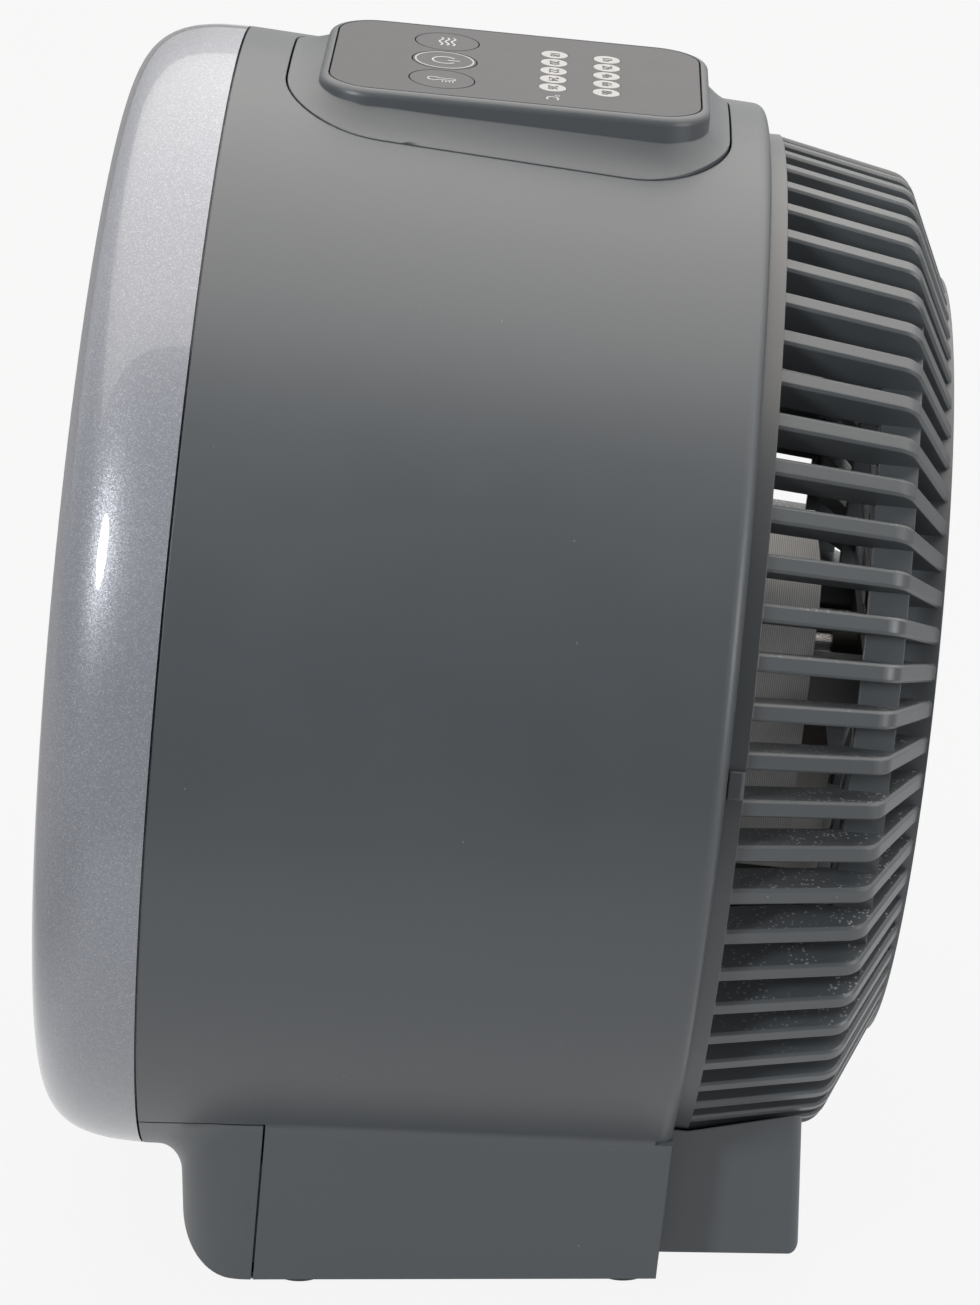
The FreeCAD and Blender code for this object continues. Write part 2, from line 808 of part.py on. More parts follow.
def control_pod():
    flare = (pod_width - panel_width) / 2 - pod_rim - panel_gap
    skirt = Part.makeLoft([skirt_outline(flare * share) for share in (-0.2, 0.1, 0.4, 0.7, 1.0, 1.3)])
    skirt = skirt.Faces[0].extrude(Vector(0, 0, -pod_depth * 2))
    centre = panel_front + panel_length / 2
    width = panel_width + 2 * (panel_gap + pod_rim)
    length = panel_length + 2 * (panel_gap + pod_rim)
    rim = rounded_plate(width, length, panel_corner + panel_gap + pod_rim, centre, pod_bottom, pod_top)
    top_edges = [edge for edge in rim.Edges if edge.BoundBox.ZMin > pod_top - wall]
    rim = rim.makeFillet(pod_rim_round, top_edges)
    outside = rounded_plate(
        pod_width, pod_length, pod_corner, pod_front + pod_length / 2, pod_bottom, pod_top + wall
    )
    whole = rim.fuse(skirt).common(outside)
    recess = rounded_plate(
        panel_width + 2 * panel_gap, panel_length + 2 * panel_gap, panel_corner + panel_gap, centre,
        pod_top - panel_thickness, pod_top + wall,
    )
    ceiling = pod_top - panel_thickness - pod_top_wall
    room = rounded_plate(
        width - 2 * pod_side_wall, length - 2 * pod_side_wall, panel_corner, centre, pod_bottom - wall, ceiling
    )
    stems = [
        post(key_stem_radius + key_stem_gap, ceiling - wall, pod_top, x, key_line) for x in key_places()
    ]
    beams = [post(light_hole_radius, ceiling - wall, pod_top, x, y) for x, y in light_places()]
    whole = cut_all(whole, [recess, room] + stems + beams)
    posts = [
        post(post_radius, ceiling - board_drop, ceiling, x, y)
        for x, y in corner_places(board_width, board_length, centre, post_inset)
    ]
    return leaned(whole.multiFuse(posts))


def pod_notch():
    # Room under the pod, for plates that reach across the drum
    return block(middle(pod_width + 2 * wall), (0, drum_length), (pod_bottom - fit_gap, far))


def corner_places(width, length, centre, inset):
    x = width / 2 - inset
    y = length / 2 - inset
    return [(-x, centre - y), (x, centre - y), (-x, centre + y), (x, centre + y)]


def key_places():
    return [-key_pitch, 0.0, key_pitch]


def light_places():
    places = []
    for row in (heat_light_line, timer_light_line):
        for step in range(light_count):
            places.append(((step - (light_count - 1) / 2) * light_pitch, row))
    return places


def control_panel():
    low = pod_top - panel_thickness
    centre = panel_front + panel_length / 2
    plate = rounded_plate(panel_width, panel_length, panel_corner, centre, low, pod_top)
    holes = [post(key_radius + key_gap, low - wall, pod_top + wall, x, key_line) for x in key_places()]
    holes += [post(light_radius + light_gap, low - wall, pod_top + wall, x, y) for x, y in light_places()]
    return leaned(cut_all(plate, holes))


def push_key(x):
    # A round cap on a stem that ends just over its switch
    cap = post(key_radius, pod_top - key_cap, pod_top, x, key_line)
    stem = post(key_stem_radius, switch_top() + key_travel + key_stop, pod_top - key_cap, x, key_line)
    return leaned(cap.fuse(stem))


def board_top():
    return pod_top - panel_thickness - pod_top_wall - board_drop


def switch_top():
    return pod_top - panel_thickness - pod_top_wall - key_stop


def indicator_lights():
    low = pod_top - panel_thickness
    return leaned(Part.Compound([post(light_radius, low, pod_top, x, y) for x, y in light_places()]))


def control_board():
    centre = panel_front + panel_length / 2
    top = board_top()
    return leaned(block(middle(board_width), middle(board_length, centre), (top - board_thickness, top)))


def key_switches():
    bodies = [
        block(middle(switch_size, x), middle(switch_size, key_line), (board_top(), switch_top()))
        for x in key_places()
    ]
    return leaned(Part.Compound(bodies))


def indicator_leds():
    top = board_top()
    bodies = [
        block(middle(led_width, x), middle(led_length, y), (top, top + led_height)) for x, y in light_places()
    ]
    return leaned(Part.Compound(bodies))


# Fan and motor

def blade():
    # One twisted blade: thin sections across the radius, from inside the hub to past the tip
    sections = []
    centre = impeller_front + impeller_depth / 2
    inner = impeller_hub_radius - impeller_hub_wall
    for step in range(4):
        share = step / 3
        radius = inner + (impeller_radius + impeller_tip_gap - inner) * share
        pitch = math.radians(blade_root_pitch + (blade_tip_pitch - blade_root_pitch) * share)
        half = (impeller_depth / 2 - blade_thickness) / math.sin(pitch)
        run = Vector(half * math.cos(pitch), half * math.sin(pitch), 0)
        lift = Vector(-math.sin(pitch), math.cos(pitch), 0) * (blade_thickness / 2)
        base = Vector(0, centre, radius)
        sections.append(wire([base - run - lift, base + run - lift, base + run + lift, base - run + lift]))
    return Part.makeLoft(sections, True, False)


def fan_impeller():
    rear = impeller_front + impeller_depth
    hub = lathe([
        (impeller_front, shaft_radius + shaft_gap), (impeller_front, impeller_hub_radius - impeller_hub_wall),
        (impeller_front + impeller_hub_wall, impeller_hub_radius), (rear, impeller_hub_radius),
        (rear, impeller_hub_radius - impeller_hub_wall),
        (impeller_front + impeller_hub_wall, impeller_hub_radius - impeller_hub_wall),
        (impeller_front + impeller_hub_wall, 2 * shaft_radius), (rear - wall, 2 * shaft_radius),
        (rear - wall, shaft_radius + shaft_gap),
    ])
    sweep = band(impeller_hub_radius - impeller_hub_wall / 2, impeller_radius, impeller_front, rear)
    blades = [one.common(sweep) for one in around(blade(), blade_count)]
    return leaned(hub.multiFuse(blades))


def impeller_nut():
    front = impeller_front - nut_length
    nut = Part.Face(wire([
        Vector(nut_radius * math.cos(math.radians(60 * i)), front, nut_radius * math.sin(math.radians(60 * i)))
        for i in range(6)
    ])).extrude(Vector(0, nut_length, 0))
    return leaned(nut.cut(rod(shaft_radius + shaft_gap, front - wall, impeller_front + wall)))


def fan_shroud():
    rear = spider_face
    outer = shroud_radius + shroud_wall
    tube = band(shroud_radius, outer, shroud_front, rear)
    reach = drum_radius(shroud_front) - wall - fit_gap
    flange = band(shroud_radius, reach, shroud_front, shroud_front + shroud_wall)
    flange = flange.common(block(middle(far), middle(far), (-shroud_floor, far))).cut(pod_notch())
    plate = rod(spider_plate_radius, rear - spider_thickness, rear)
    arm = block(
        middle(spider_arm_width), (rear - spider_thickness, rear),
        (spider_plate_radius / 2, shroud_radius + shroud_wall / 2),
    )
    whole = tube.multiFuse([flange, plate] + around(arm, 4, 45.0))
    holes = [rod(spider_bore, rear - wall * 2, rear + wall)] + bolt_holes(rear - wall * 2, rear + wall)
    return leaned(cut_all(whole, holes))


def bolt_places():
    return [-bolt_spacing / 2, bolt_spacing / 2]


def bolt_holes(front, rear):
    return [rod(bolt_radius + bolt_gap, front, rear, x) for x in bolt_places()]


def motor_shaft():
    front = impeller_front - nut_length - nut_length / 2
    return leaned(rod(shaft_radius, front, motor_rear + 2 * bracket_thickness))


def motor_rotor():
    clear = stator_depth / 12
    inner = shaft_radius + shaft_gap
    return leaned(band(inner, rotor_radius, stator_front + clear, stator_rear - clear))


def motor_stator():
    # A stack of laminations: round bore at the top, a window and a wound limb below
    bottom = -stator_limb_top - stator_limb_height
    stack = block(middle(stator_width), (stator_front, stator_rear), (bottom, stator_top))
    corner = stator_width / 6
    upright = [edge for edge in stack.Edges if edge.BoundBox.YLength > wall and edge.BoundBox.ZMin > 0]
    stack = stack.makeFillet(corner, upright)
    window = block(
        middle(stator_window_width), (stator_front - wall, stator_rear + wall),
        (-stator_limb_top, -stator_limb_top + stator_window_height),
    )
    bore = rod(rotor_radius + rotor_gap, stator_front - wall, stator_rear + wall)
    return leaned(cut_all(stack, [window, bore] + bolt_holes(stator_front - wall, stator_rear + wall)))


def limb_tube(inner, outer, half):
    # A square tube round the wound limb
    low = -stator_limb_top - stator_limb_height
    high = -stator_limb_top

    def sleeve(grow, width):
        return block(middle(width), (stator_front - grow, stator_rear + grow), (low - grow, high + grow))

    return sleeve(outer, 2 * half).cut(sleeve(inner, 2 * half + wall))


def coil_bobbin():
    half = stator_window_width / 2 - bobbin_gap
    tube = limb_tube(bobbin_gap, bobbin_gap + bobbin_wall, half)
    reach = bobbin_gap + bobbin_wall + coil_thickness
    cheek = limb_tube(bobbin_gap, reach, half).cut(limb_tube(0.0, reach + wall, half - bobbin_wall))
    return leaned(tube.fuse(cheek))


def coil_winding():
    half = stator_window_width / 2 - 2 * bobbin_gap - bobbin_wall
    inner = 2 * bobbin_gap + bobbin_wall
    return leaned(limb_tube(inner, inner + coil_thickness - 2 * bobbin_gap, half))


def motor_bracket(plate_front, leg_front, leg_rear):
    # A steel strap across the motor with two legs that reach the stack
    plate = block(middle(stator_width), (plate_front, plate_front + bracket_thickness), middle(bracket_width))
    spread = (stator_width - bracket_leg) / 2
    legs = [
        block(middle(bracket_leg, side * spread), (leg_front, leg_rear), middle(bracket_width))
        for side in (-1, 1)
    ]
    return plate.multiFuse(legs)


def front_bracket():
    strap = motor_bracket(spider_face, bracket_back, stator_front)
    return leaned(cut_all(strap, bracket_holes(spider_face)))


def rear_bracket():
    strap = motor_bracket(motor_rear, stator_rear, motor_rear)
    return leaned(cut_all(strap, bracket_holes(motor_rear)))


def bracket_holes(front):
    rear = front + bracket_thickness + wall
    return [rod(shaft_radius + fit_gap, front - wall, rear)] + bolt_holes(front - wall, rear)


def motor_bearings():
    inner = shaft_radius + shaft_gap
    front = band(inner, bearing_radius, bracket_back, bracket_back + bearing_length)
    rear = band(inner, bearing_radius, motor_rear - bearing_length, motor_rear)
    return leaned(Part.Compound([front, rear]))


def motor_bolts():
    front = spider_face - spider_thickness
    rear = motor_rear + bracket_thickness
    bolts = []
    for x in bolt_places():
        shank = rod(bolt_radius, front, rear, x)
        bolts.append(shank.fuse(rod(2 * bolt_radius, rear, rear + bolt_head, x)))
    return leaned(Part.Compound(bolts))


# Heater

def heater_front():
    return baffle_place + baffle_thickness


def stack_height():
    return fin_rows * fin_height + (fin_rows - 1) * (bar_height + 2 * stack_gap)


def holder_height():
    return stack_height() + 2 * (stack_gap + holder_wall)


def heater_baffle():
    # A steel disc across the drum with a window for the heater, cut off flat below
    disc = rod(drum_radius(baffle_place) - wall - fit_gap, baffle_place, heater_front())
    disc = disc.common(block(middle(far), middle(far), (-baffle_floor, far))).cut(pod_notch())
    window = block(middle(heater_width), (baffle_place - wall, heater_front() + wall), middle(stack_height()))
    return leaned(disc.cut(window))


def heater_holders():
    # Two end channels that carry the ends of the heating bars
    face = heater_width / 2 + fit_gap
    depth = fin_depth + 2 * (holder_wall + stack_gap)
    holders = []
    for side in (-1, 1):
        outer = (face, face + holder_width)
        pocket = (face - wall, face + bar_overhang + fit_gap)
        spans = [tuple(sorted(side * edge for edge in pair)) for pair in (outer, pocket)]
        front = heater_front()
        body = block(spans[0], (front, front + depth), middle(holder_height()))
        groove = block(
            spans[1], (front + holder_wall, front + depth - holder_wall), middle(stack_height() + 2 * stack_gap)
        )
        holders.append(body.cut(groove))
    return leaned(Part.Compound(holders))


def row_low(row):
    # Lower edge of a fin row
    return -stack_height() / 2 + row * (fin_height + bar_height + 2 * stack_gap)


def fin_row(row):
    # A folded aluminium strip that runs up and down between two bars
    low = row_low(row)
    high = low + fin_height
    pitch = heater_width / fin_teeth
    crest = []
    for fold in range(2 * fin_teeth + 1):
        x = -heater_width / 2 + fold * pitch / 2
        crest.append((x, low if fold % 2 else high - fin_sheet))
    front = heater_front() + holder_wall + stack_gap
    upper = [Vector(x, front, z + fin_sheet) for x, z in crest]
    lower = [Vector(x, front, z) for x, z in reversed(crest)]
    return Part.Face(wire(upper + lower)).extrude(Vector(0, fin_depth, 0))


def heater_fins():
    return leaned(Part.Compound([fin_row(row) for row in range(fin_rows)]))


def ptc_bars():
    front = heater_front() + holder_wall + stack_gap
    bars = []
    for row in range(fin_rows - 1):
        low = row_low(row) + fin_height + stack_gap
        width = heater_width + 2 * bar_overhang
        bars.append(block(middle(width), (front, front + fin_depth), (low, low + bar_height)))
    return leaned(Part.Compound(bars))


def holder_middle():
    # Middle of a holder's top face: sideways place, depth and height
    x = heater_width / 2 + fit_gap + holder_width / 2
    y = heater_front() + fin_depth / 2 + holder_wall + stack_gap
    return x, y, holder_height() / 2


def thermal_cutout():
    x, y, top = holder_middle()
    return leaned(post(cutout_radius, top, top + cutout_height, x, y))


def thermal_fuse():
    x, y, top = holder_middle()
    start = Vector(-x, y - fuse_length / 2, top + fuse_radius)
    return leaned(Part.makeCylinder(fuse_radius, fuse_length, start, Vector(0, 1, 0)))


# Electrics in the stand

def power_board_place():
    # World y of the board's middle and the height of its underside
    y = seam_place + power_board_front + power_board_length / 2
    return y, foot_drop + base_thickness + standoff_height


def standoff_places():
    y, low = power_board_place()
    return corner_places(power_board_width, power_board_length, y, standoff_inset)


def power_board():
    y, low = power_board_place()
    return block(middle(power_board_width), middle(power_board_length, y), (low, low + board_thickness))


def power_relays():
    y, low = power_board_place()
    top = low + board_thickness
    relays = [
        block(middle(relay_width, side * relay_spacing / 2), middle(relay_length, y), (top, top + relay_height))
        for side in (-1, 1)
    ]
    return Part.Compound(relays)


def tilt_switch():
    y, low = power_board_place()
    top = low + board_thickness
    x = power_board_width / 2 - tilt_size
    return block(middle(tilt_size, x), middle(tilt_size, y), (top, top + tilt_size))


def terminal_block():
    floor = foot_drop + wall
    y = seam_place + rear_foot_reach - wall - gland_flange - terminal_width
    x = middle(terminal_length, -inlet_place)
    return block(x, middle(terminal_width, y), (floor, floor + terminal_height))


def cord_gland():
    # A flanged bush through the back of the rear foot
    rear = seam_place + rear_foot_reach
    z = foot_drop + gland_height

    def bar(radius, front, back):
        return Part.makeCylinder(radius, back - front, Vector(-inlet_place, front, z), Vector(0, 1, 0))

    body = bar(gland_radius, rear - 2 * wall, rear)
    flange = bar(gland_flange_radius, rear, rear + gland_flange)
    return body.fuse(flange).cut(bar(gland_bore, rear - far, rear + far))


# All pieces by name

def pieces():
    drum, front = housing()
    left, centre, right = key_places()
    return {
        "drum_shell": drum,
        "base_front": front,
        "front_ring": front_ring(),
        "front_grille": front_grille(),
        "rear_grille": rear_grille(),
        "base_plate": base_plate(),
        "rear_foot": rear_foot(),
        "rubber_feet": rubber_feet(),
        "control_pod": control_pod(),
        "control_panel": control_panel(),
        "heat_key": push_key(left),
        "power_key": push_key(centre),
        "thermostat_key": push_key(right),
        "indicator_lights": indicator_lights(),
        "control_board": control_board(),
        "key_switches": key_switches(),
        "indicator_leds": indicator_leds(),
        "fan_impeller": fan_impeller(),
        "impeller_nut": impeller_nut(),
        "fan_shroud": fan_shroud(),
        "motor_shaft": motor_shaft(),
        "motor_rotor": motor_rotor(),
        "motor_stator": motor_stator(),
        "coil_bobbin": coil_bobbin(),
        "coil_winding": coil_winding(),
        "motor_front_bracket": front_bracket(),
        "motor_rear_bracket": rear_bracket(),
        "motor_bearings": motor_bearings(),
        "motor_bolts": motor_bolts(),
        "heater_baffle": heater_baffle(),
        "heater_holders": heater_holders(),
        "heater_fins": heater_fins(),
        "ptc_bars": ptc_bars(),
        "thermal_cutout": thermal_cutout(),
        "thermal_fuse": thermal_fuse(),
        "power_board": power_board(),
        "power_relays": power_relays(),
        "tilt_switch": tilt_switch(),
        "terminal_block": terminal_block(),
        "cord_gland": cord_gland(),
    }


os.makedirs("parts", exist_ok=True)
for name, shape in pieces().items():
    shape.exportStep("parts/" + name + ".step")
print("drum axis at the front seam (0, %.3f, %.3f)" % (seam_place, axis_height))
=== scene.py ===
import math

import bmesh
import bpy
from mathutils import Matrix, Vector


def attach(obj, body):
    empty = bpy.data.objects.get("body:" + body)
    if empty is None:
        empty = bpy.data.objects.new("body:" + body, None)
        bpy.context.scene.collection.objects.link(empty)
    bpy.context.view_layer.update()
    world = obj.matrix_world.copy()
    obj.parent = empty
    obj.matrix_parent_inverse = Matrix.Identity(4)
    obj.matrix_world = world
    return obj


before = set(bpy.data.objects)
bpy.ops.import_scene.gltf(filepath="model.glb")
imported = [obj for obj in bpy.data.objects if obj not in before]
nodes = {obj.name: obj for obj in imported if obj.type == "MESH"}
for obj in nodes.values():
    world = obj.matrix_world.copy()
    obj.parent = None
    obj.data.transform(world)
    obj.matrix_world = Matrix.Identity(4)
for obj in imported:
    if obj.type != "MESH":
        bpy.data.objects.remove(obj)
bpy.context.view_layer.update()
scene = bpy.context.scene
scene.view_settings.view_transform = "Standard"

MM = 0.001

# The drum's own frame: depth runs back along its axis from the front seam, height stands square to it
DRUM_LEAN = math.radians(5.3)
SEAM_CENTRE = Vector((0, -70.294, 140.6)) * MM
ACROSS = Vector((1, 0, 0))
DRUM_BACK = Vector((0, math.cos(DRUM_LEAN), -math.sin(DRUM_LEAN)))
DRUM_UP = Vector((0, math.sin(DRUM_LEAN), math.cos(DRUM_LEAN)))

# Where the solids carry the signs and fittings, in millimetres and degrees of that frame
PANEL_HEIGHT = 135.3
KEY_LINE = 46.7
KEY_PITCH = 16.0
HEAT_LIGHT_LINE = 71.8
TIMER_LIGHT_LINE = 84.0
LIGHT_PITCH = 7.0
CAGE_FLANGE_RADIUS = 120.7
CAGE_FLANGE_FRONT = 123.3
CAGE_FLANGE_REAR = 127.0
RIB_COUNT = 70
RIB_TURN = 2.06
BASE_UNDERSIDE = 3.8
STAND_SEAM_DEPTHS = (28.95, 29.35)
STAND_SEAM_HEIGHTS = (-134.6, -132.8)
STAND_SEAM_SIDES = (91.3, 93.2)


def drum_point(x, depth, height):
    """A place in the drum's own frame, in millimetres, as a point of the scene."""
    return SEAM_CENTRE + (ACROSS * x + DRUM_BACK * depth + DRUM_UP * height) * MM


# Shader maths

# The colour sockets of a Mix node, by their place among its sockets
MIX_SHARE, MIX_FIRST, MIX_SECOND, MIX_RESULT = 0, 6, 7, 2


class Value:
    """One socket of a finish, with arithmetic that adds the nodes for it."""

    def __init__(self, finish, socket):
        self.finish = finish
        self.socket = socket

    def maths(self, operation, first, second):
        return self.finish.maths(operation, first, second)

    def __add__(self, other):
        return self.maths("ADD", self, other)

    def __radd__(self, other):
        return self.maths("ADD", other, self)

    def __sub__(self, other):
        return self.maths("SUBTRACT", self, other)

    def __rsub__(self, other):
        return self.maths("SUBTRACT", other, self)

    def __mul__(self, other):
        return self.maths("MULTIPLY", self, other)

    def __rmul__(self, other):
        return self.maths("MULTIPLY", other, self)

    def __pow__(self, other):
        return self.maths("POWER", self, other)

    def __rpow__(self, other):
        return self.maths("POWER", other, self)

    def __gt__(self, other):
        return self.maths("GREATER_THAN", self, other)

    def __lt__(self, other):
        return self.maths("LESS_THAN", self, other)


class Finish:
    """A material, or the world, that is put together node by node."""

    def __init__(self, owner):
        owner.use_nodes = True
        self.owner = owner
        self.tree = owner.node_tree
        self.tree.nodes.clear()

    def node(self, kind, settings=None, sockets=None, output=0):
        """Adds a node: settings first, then the values or links of its sockets."""
        made = self.tree.nodes.new(kind)
        for key, setting in (settings or {}).items():
            setattr(made, key, setting)
        for key, given in (sockets or {}).items():
            if isinstance(given, Value):
                self.tree.links.new(given.socket, made.inputs[key])
            else:
                made.inputs[key].default_value = given
        return Value(self, made.outputs[output]) if made.outputs else made

    def maths(self, operation, first, second=0.0):
        return self.node("ShaderNodeMath", {"operation": operation}, {0: first, 1: second})

    def vectors(self, operation, sockets, output="Vector"):
        return self.node("ShaderNodeVectorMath", {"operation": operation}, sockets, output)

    def place(self):
        """The point of the surface in the object's own frame, in metres."""
        return self.node("ShaderNodeTexCoord", output="Object")

    def normal(self):
        return self.node("ShaderNodeNewGeometry", output="Normal")

    def facing_up(self):
        """How far the surface faces up: 1 on top, 0 on the sides, less below."""
        return self.node("ShaderNodeSeparateXYZ", sockets={0: self.normal()}, output="Z")

    def noise(self, place, scale, detail=2.0, rough=0.5):
        return self.node("ShaderNodeTexNoise", sockets={
            "Vector": place, "Scale": scale, "Detail": detail, "Roughness": rough,
        })

    def cells(self, place, scale, output="Distance"):
        return self.node("ShaderNodeTexVoronoi", sockets={"Vector": place, "Scale": scale}, output=output)

    def pick(self, cell_colour):
        """A random number from 0 to 1 for each cell, from the cell's random colour."""
        return self.node("ShaderNodeSeparateColor", sockets={0: cell_colour})

    def flecks(self, place, scale, size, above):
        """Small round flecks, one in each cell whose random number is above a limit."""
        return (self.cells(place, scale) < size) * (self.pick(self.cells(place, scale, "Color")) > above)

    def ramp(self, value, low, high):
        """A value stretched so that low gives 0 and high gives 1."""
        return self.node("ShaderNodeMapRange", {"clamp": True}, {
            "Value": value, "From Min": low, "From Max": high, "To Min": 0.0, "To Max": 1.0,
        })

    def along(self, place, direction):
        """How far along a direction the point of the surface lies, in metres."""
        return self.vectors("DOT_PRODUCT", {0: place, 1: tuple(direction)}, "Value")

    def stripes(self, distance, pitch):
        """A smooth wave from 0 to 1 that repeats at a pitch in metres."""
        return self.maths("SINE", distance * (2 * math.pi / pitch)) * 0.5 + 0.5

    def mix(self, share, first, second):
        sockets = {MIX_SHARE: share, MIX_FIRST: first, MIX_SECOND: second}
        return self.node("ShaderNodeMix", {"data_type": "RGBA"}, sockets, MIX_RESULT)

    def soft_edges(self, radius):
        """The surface's normal with its edges rounded off."""
        return self.node("ShaderNodeBevel", {"samples": 6}, {"Radius": radius})

    def bump(self, height, distance, strength, normal=None):
        sockets = {"Strength": strength, "Distance": distance, "Height": height}
        if normal is not None:
            sockets["Normal"] = normal
        return self.node("ShaderNodeBump", sockets=sockets)

    def rays(self, kind):
        """1 for rays of one kind, such as the camera's own, and 0 for the rest."""
        return self.node("ShaderNodeLightPath", output=kind)

    def mirrored_rays(self):
        """Rays that show the surroundings in metal, gloss and glass."""
        return self.rays("Is Glossy Ray") + self.rays("Is Transmission Ray")

    def surface(self, **sockets):
        shader = self.node("ShaderNodeBsdfPrincipled", sockets=sockets)
        self.node("ShaderNodeOutputMaterial", sockets={"Surface": shader})
        return self.owner


def new_finish(name):
    return Finish(bpy.data.materials.new(name))


def grey(level):
    return (level, level, level, 1.0)


def tint(colour, share=1.0):
    return tuple(channel * share for channel in colour) + (1.0,)


# Finishes of the heater

BODY_GREY = (0.073, 0.0835, 0.094)
CAGE_GREY = (0.08, 0.09, 0.098)
PANEL_GREY = (0.078, 0.081, 0.086)
KEY_GREY = tuple(channel * 1.04 for channel in PANEL_GREY)
PAINT_DARK = (0.246, 0.262, 0.3)
PAINT_SPARK = (0.437, 0.458, 0.513)
INK_WHITE = (0.5, 0.51, 0.51)
INK_DARK = (0.05, 0.05, 0.053)
SPECK_GREY = 0.42
DUST_GREY = 0.5
MOULDED_EDGE = 0.0004
FILM_EDGE = 0.0003
METAL_EDGE = 0.0002

# Dust lies low on the cage, near the bend of its ribs: heights, and reach back along the drum's axis, in metres
DUST_TOP = 0.2
DUST_FULL = 0.175
DUST_FRONT = 0.035
DUST_REAR = 0.068


def lying_dust(finish, place):
    """The cover of dust flecks on what faces up, in patches."""
    upward = finish.ramp(finish.facing_up(), low=0.82, high=0.97)
    patch = finish.ramp(finish.noise(place, scale=120.0, detail=4.0), low=0.42, high=0.56)
    low_down = finish.ramp(finish.along(place, (0, 0, -1)), -DUST_TOP, -DUST_FULL)
    near_bend = finish.ramp(finish.along(place, DRUM_BACK), DUST_FRONT, DUST_REAR)
    return upward * low_down * near_bend * patch * finish.flecks(place, scale=1100.0, size=0.34, above=0.5)


def moulded_plastic(name, colour, rough, grain, dust=0.0):
    """Moulded plastic with a fine grain, slow colour drift and a few pale specks, and with dust if asked for."""
    finish = new_finish(name)
    place = finish.place()
    drift = finish.noise(place, scale=38.0, detail=3.0)
    cloud = finish.noise(place, scale=9.0)
    skin = finish.noise(place, scale=2600.0, detail=3.0, rough=0.6)
    base = finish.mix(drift * 0.6 + cloud * 0.4, tint(colour, 0.9), tint(colour, 1.1))
    specks = finish.flecks(place, scale=330.0, size=0.07, above=0.985)
    base = finish.mix(specks * 0.35, base, grey(SPECK_GREY))
    if dust:
        base = finish.mix(lying_dust(finish, place) * dust, base, grey(DUST_GREY))
    return finish.surface(**{
        "Base Color": base,
        "Roughness": rough + (skin - 0.5) * 0.14 + (drift - 0.5) * 0.08,
        "Normal": finish.bump(skin, grain, strength=0.6, normal=finish.soft_edges(MOULDED_EDGE)),
        "Specular IOR Level": 0.75,
    })


def flake_paint():
    """Silver-grey paint with fine metal flakes that tilt this way and that under a clear coat."""
    finish = new_finish("ring_flake_paint")
    place = finish.place()
    tilt = finish.cells(place, scale=4600.0, output="Color")
    spark = finish.pick(tilt) ** 4.0
    cloud = finish.noise(place, scale=14.0)
    centred = finish.vectors("SUBTRACT", {0: tilt, 1: (0.5, 0.5, 0.5)})
    lean = finish.vectors("SCALE", {0: centred, "Scale": 0.13})
    leaned = finish.vectors("NORMALIZE", {0: finish.vectors("ADD", {0: finish.normal(), 1: lean})})
    return finish.surface(**{
        "Base Color": finish.mix(spark * 0.8 + cloud * 0.1, tint(PAINT_DARK), tint(PAINT_SPARK)),
        "Metallic": 0.15,
        "Roughness": 0.36 + (cloud - 0.5) * 0.06,
        "Normal": leaned,
        "Coat Weight": 0.65,
        "Coat Roughness": 0.035,
    })


def satin_film(name, colour):
    """Satin printed film: very fine even grain and faint rubbing."""
    finish = new_finish(name)
    place = finish.place()
    skin = finish.noise(place, scale=4200.0)
    rub = finish.noise(place, scale=70.0, detail=4.0, rough=0.65)
    return finish.surface(**{
        "Base Color": finish.mix(rub, tint(colour, 0.94), tint(colour, 1.07)),
        "Roughness": 0.4 + (rub - 0.5) * 0.12 + (skin - 0.5) * 0.08,
        "Normal": finish.bump(skin, 0.000012, strength=0.5, normal=finish.soft_edges(FILM_EDGE)),
        "Specular IOR Level": 0.25,
    })


def printed_ink(name, colour):
    """Screen-printed ink with a slightly uneven cover."""
    finish = new_finish(name)
    cover = finish.noise(finish.place(), scale=1800.0, detail=3.0)
    return finish.surface(**{
        "Base Color": finish.mix(cover, tint(colour, 0.88), tint(colour, 1.06)),
        "Roughness": 0.45 + cover * 0.15,
    })


def milky_window():
    """Milky light window: pale, a little uneven, with a soft gloss."""
    finish = new_finish("milky_window")
    cloud = finish.noise(finish.place(), scale=420.0, detail=3.0)
    return finish.surface(**{
        "Base Color": finish.mix(cloud, (0.36, 0.365, 0.365, 1), (0.46, 0.465, 0.465, 1)),
        "Roughness": 0.3 + cloud * 0.12,
        "Coat Weight": 0.3,
    })


def dull_rubber(name):
    """Dull black rubber with a fine open grain and pale scuffs."""
    finish = new_finish(name)
    place = finish.place()
    grain = finish.noise(place, scale=1500.0, detail=4.0, rough=0.7)
    scuff = finish.ramp(finish.noise(place, scale=160.0, detail=4.0), low=0.55, high=0.8)
    return finish.surface(**{
        "Base Color": finish.mix(scuff * 0.35, (0.018, 0.018, 0.019, 1), grey(0.07)),
        "Roughness": 0.72 + grain * 0.2,
        "Normal": finish.bump(grain, 0.00005, strength=0.6),
    })


def sheet_metal(name, colour, rough, direction):
    """Rolled or drawn metal: fine lines across one direction, and stains."""
    finish = new_finish(name)
    place = finish.place()
    wander = finish.noise(place, scale=300.0, detail=3.0)
    lines = finish.stripes(finish.along(place, direction) + wander * 0.0006, pitch=0.00032)
    stain = finish.noise(place, scale=55.0, detail=4.0, rough=0.6)
    return finish.surface(**{
        "Base Color": finish.mix(stain, tint(colour, 0.78), tint(colour, 1.1)),
        "Metallic": 1.0,
        "Roughness": rough + (lines - 0.5) * 0.12 + (stain - 0.5) * 0.12,
        "Normal": finish.bump(lines, 0.00001, strength=0.35, normal=finish.soft_edges(METAL_EDGE)),
    })


